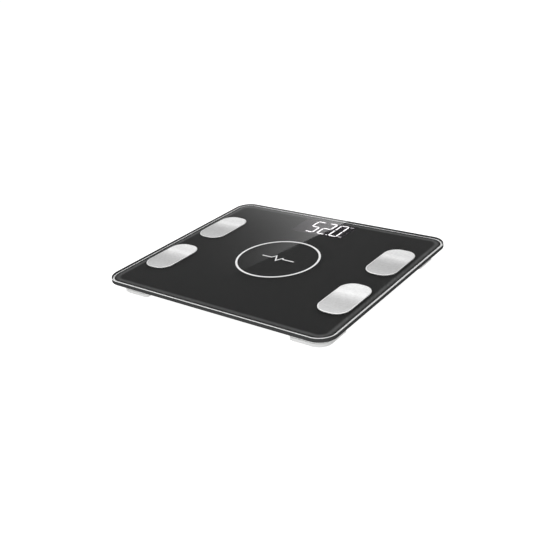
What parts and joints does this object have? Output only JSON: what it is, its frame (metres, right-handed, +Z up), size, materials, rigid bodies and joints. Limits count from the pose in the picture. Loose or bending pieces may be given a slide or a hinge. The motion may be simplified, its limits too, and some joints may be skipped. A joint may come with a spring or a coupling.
{
  "type": "digital bathroom scale",
  "caption": "Rounded rectangular glass platform with metal foot electrodes, a window display, sprung corner feet and a slide-off battery door underneath.",
  "frame": {"origin": "on the floor under the middle of the platform", "axes": "+X to the user's right along the long side, +Y towards the display edge, +Z up"},
  "size_m": [0.3, 0.26, 0.0201],
  "materials": {
    "clear_glass": "polished tempered glass with ground edges",
    "black_ink": "black screen-printed ink seen through glass",
    "silver_ink": "silver screen-printed ink",
    "brushed_electrode": "satin stainless steel with rolled edge",
    "foam_tape": "double-sided foam tape",
    "tinned_brass": "tinned",
    "zinc_steel": "zinc plated",
    "smoked_film": "smoked translucent film",
    "black_plastic": "moulded, fine texture",
    "lit_segment": "white light-guide segments, lit",
    "dark_segment": "light-guide segments, unlit",
    "white_plastic": "white ABS, fine moulded texture",
    "foot_plastic": "pale ABS, fine moulded texture",
    "foot_rubber": "soft grey rubber",
    "cell_steel": "stamped spring steel",
    "battery_sleeve": "plain printed sleeve",
    "nickel_strip": "nickel plated spring steel",
    "wire_sleeve": "PVC wire insulation",
    "circuit_board": "green solder mask",
    "ivory_plastic": "ivory nylon",
    "shield_can": "tinned steel can",
    "grey_button": "grey ABS"
  },
  "bodies": {
    "platform": {"glass_platform": "clear_glass", "back_print": "black_ink", "border_stripe": "silver_ink", "printed_ring": "silver_ink", "pulse_mark": "silver_ink", "electrode_tapes": "foam_tape", "electrode_terminals": "tinned_brass", "electrode_nuts": "zinc_steel", "display_filter": "smoked_film", "display_reflector": "black_plastic", "lit_segments": "lit_segment", "dark_segments": "dark_segment", "bracket_tapes": "foam_tape", "electronics_tray": "white_plastic", "tray_tape": "foam_tape", "battery_1": "battery_sleeve", "battery_2": "battery_sleeve", "battery_3": "battery_sleeve", "battery_contacts": "nickel_strip", "battery_springs": "nickel_strip", "battery_leads": "wire_sleeve", "main_board": "circuit_board", "board_screws": "zinc_steel", "wire_connectors": "ivory_plastic", "controller_chip": "black_plastic", "radio_module": "shield_can", "unit_switch": "black_plastic", "electrode_wires": "wire_sleeve", "wire_duct_left": "white_plastic", "wire_duct_right": "white_plastic", "electrode_front_left": "brushed_electrode", "load_cell_bracket_front_left": "white_plastic", "load_cell_front_left": "cell_steel", "load_cell_wires_front_left": "wire_sleeve", "electrode_front_right": "brushed_electrode", "load_cell_bracket_front_right": "white_plastic", "load_cell_front_right": "cell_steel", "load_cell_wires_front_right": "wire_sleeve", "electrode_back_left": "brushed_electrode", "load_cell_bracket_back_left": "white_plastic", "load_cell_back_left": "cell_steel", "load_cell_wires_back_left": "wire_sleeve", "electrode_back_right": "brushed_electrode", "load_cell_bracket_back_right": "white_plastic", "load_cell_back_right": "cell_steel", "load_cell_wires_back_right": "wire_sleeve"},
    "foot_front_left": {"foot_front_left": "foot_plastic", "foot_pad_front_left": "foot_rubber"},
    "foot_front_right": {"foot_front_right": "foot_plastic", "foot_pad_front_right": "foot_rubber"},
    "foot_back_left": {"foot_back_left": "foot_plastic", "foot_pad_back_left": "foot_rubber"},
    "foot_back_right": {"foot_back_right": "foot_plastic", "foot_pad_back_right": "foot_rubber"},
    "battery_door": {"battery_door": "white_plastic"},
    "unit_button": {"unit_button": "grey_button"}
  },
  "joints": [
    {"name": "foot_travel_front_left", "type": "slide", "parent": "platform", "child": "foot_front_left", "axis": [0, 0, 1], "range_m": [0, 0.0005], "stiffness_N_per_m": 1500, "springref_m": -0.004, "deforming": ["load_cell_front_left"]},
    {"name": "foot_travel_front_right", "type": "slide", "parent": "platform", "child": "foot_front_right", "axis": [0, 0, 1], "range_m": [0, 0.0005], "stiffness_N_per_m": 1500, "springref_m": -0.004, "deforming": ["load_cell_front_right"]},
    {"name": "foot_travel_back_left", "type": "slide", "parent": "platform", "child": "foot_back_left", "axis": [0, 0, 1], "range_m": [0, 0.0005], "stiffness_N_per_m": 1500, "springref_m": -0.004, "deforming": ["load_cell_back_left"]},
    {"name": "foot_travel_back_right", "type": "slide", "parent": "platform", "child": "foot_back_right", "axis": [0, 0, 1], "range_m": [0, 0.0005], "stiffness_N_per_m": 1500, "springref_m": -0.004, "deforming": ["load_cell_back_right"]},
    {"name": "battery_door_slide", "type": "slide", "parent": "platform", "child": "battery_door", "axis": [0, -1, 0], "range_m": [0, 0.041]},
    {"name": "unit_button_press", "type": "slide", "parent": "platform", "child": "unit_button", "axis": [0, 0, 1], "range_m": [0, 0.0006], "stiffness_N_per_m": 1200}
  ]
}
